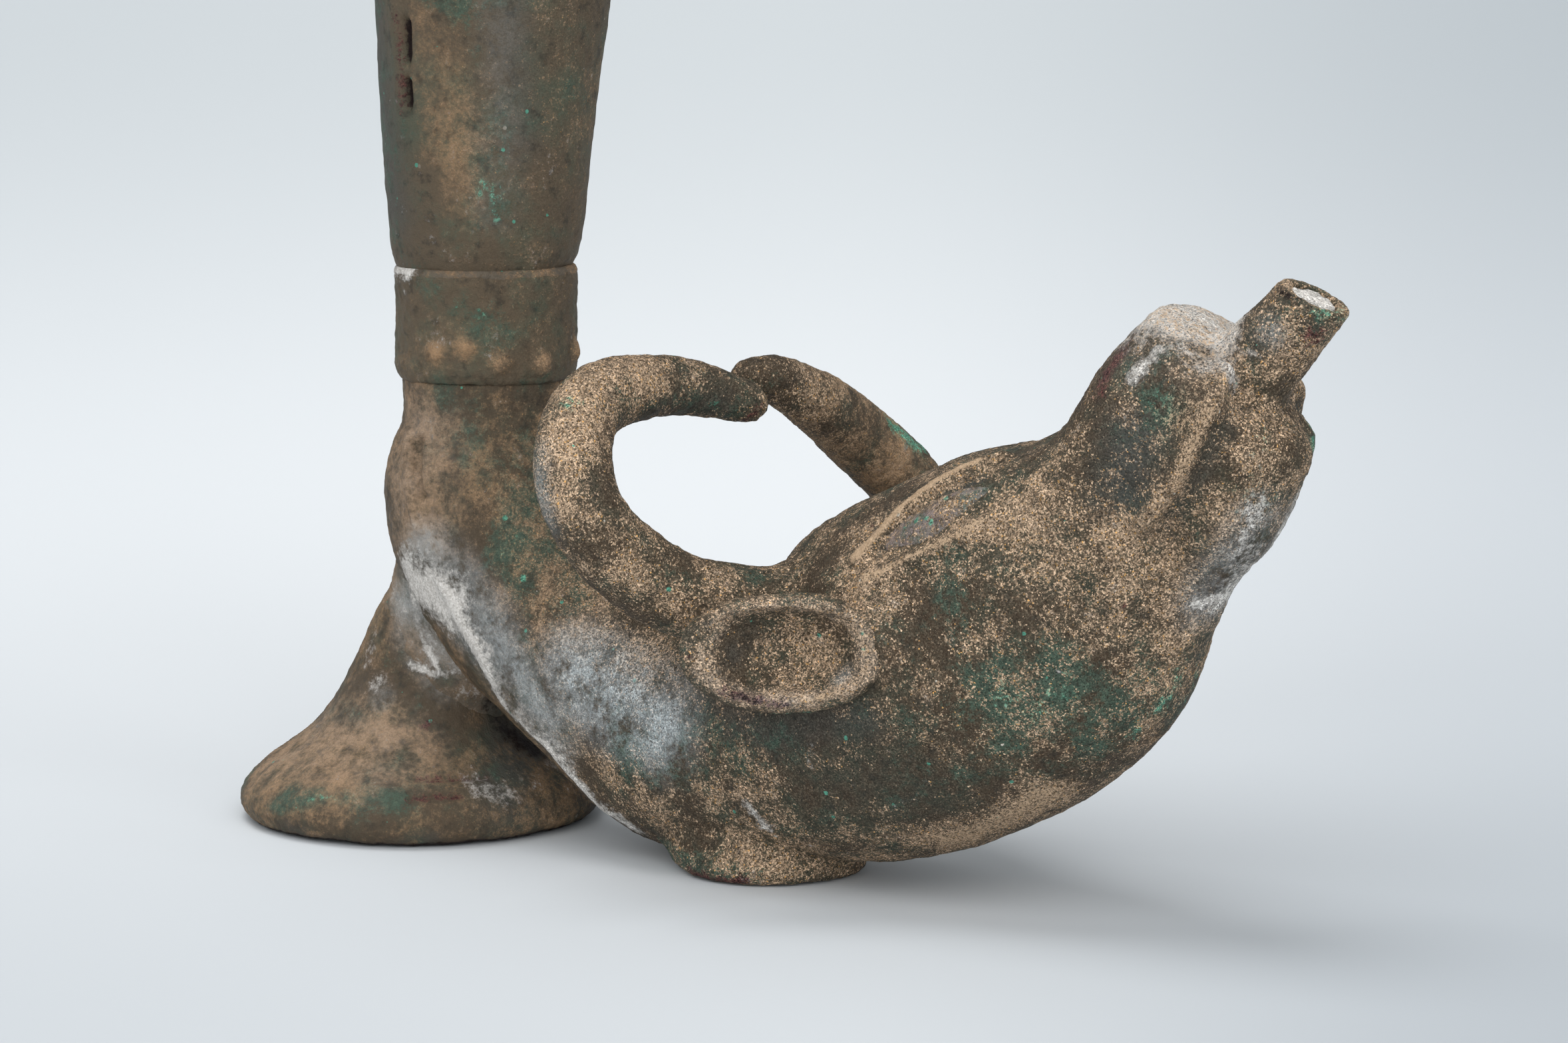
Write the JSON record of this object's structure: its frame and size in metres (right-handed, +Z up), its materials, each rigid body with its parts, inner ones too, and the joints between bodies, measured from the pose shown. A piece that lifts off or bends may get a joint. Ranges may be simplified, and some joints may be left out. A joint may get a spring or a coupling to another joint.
{
  "type": "bronze rhyton",
  "caption": "Footed bronze drinking horn: a flaring beaker joined by a collar to a bent neck that ends in a horned bull's head with a pouring spout in its mouth.",
  "frame": {"origin": "centre of the underside of the front pad, on the surface the vessel stands on", "axes": "+Z up, +X from the beaker towards the muzzle, +Y to the animal's left; the XZ plane is the mirror plane of all but the horns"},
  "size_m": [0.1922, 0.0857, 0.2509],
  "materials": {
    "beaker_bronze": "corroded bronze, dark brown and green with sand-coloured crust",
    "cast_bronze": "corroded bronze, sandy crust over dark metal with green and red patches",
    "eye_inlay": "purple-grey corroded inlay with bright green specks",
    "solder": "pale grey crusted solder",
    "lime": "chalky white deposit"
  },
  "bodies": {
    "root": {"beaker": "beaker_bronze", "collar": "beaker_bronze", "collar_seam": "solder", "neck": "cast_bronze", "head": "cast_bronze", "right_horn": "cast_bronze", "left_horn": "cast_bronze", "right_ear": "cast_bronze", "left_ear": "cast_bronze", "right_eye": "eye_inlay", "left_eye": "eye_inlay", "spout": "cast_bronze", "spout_plug": "lime", "rear_foot": "cast_bronze", "rear_foot_solder": "solder", "front_foot": "cast_bronze"}
  },
  "joints": []
}
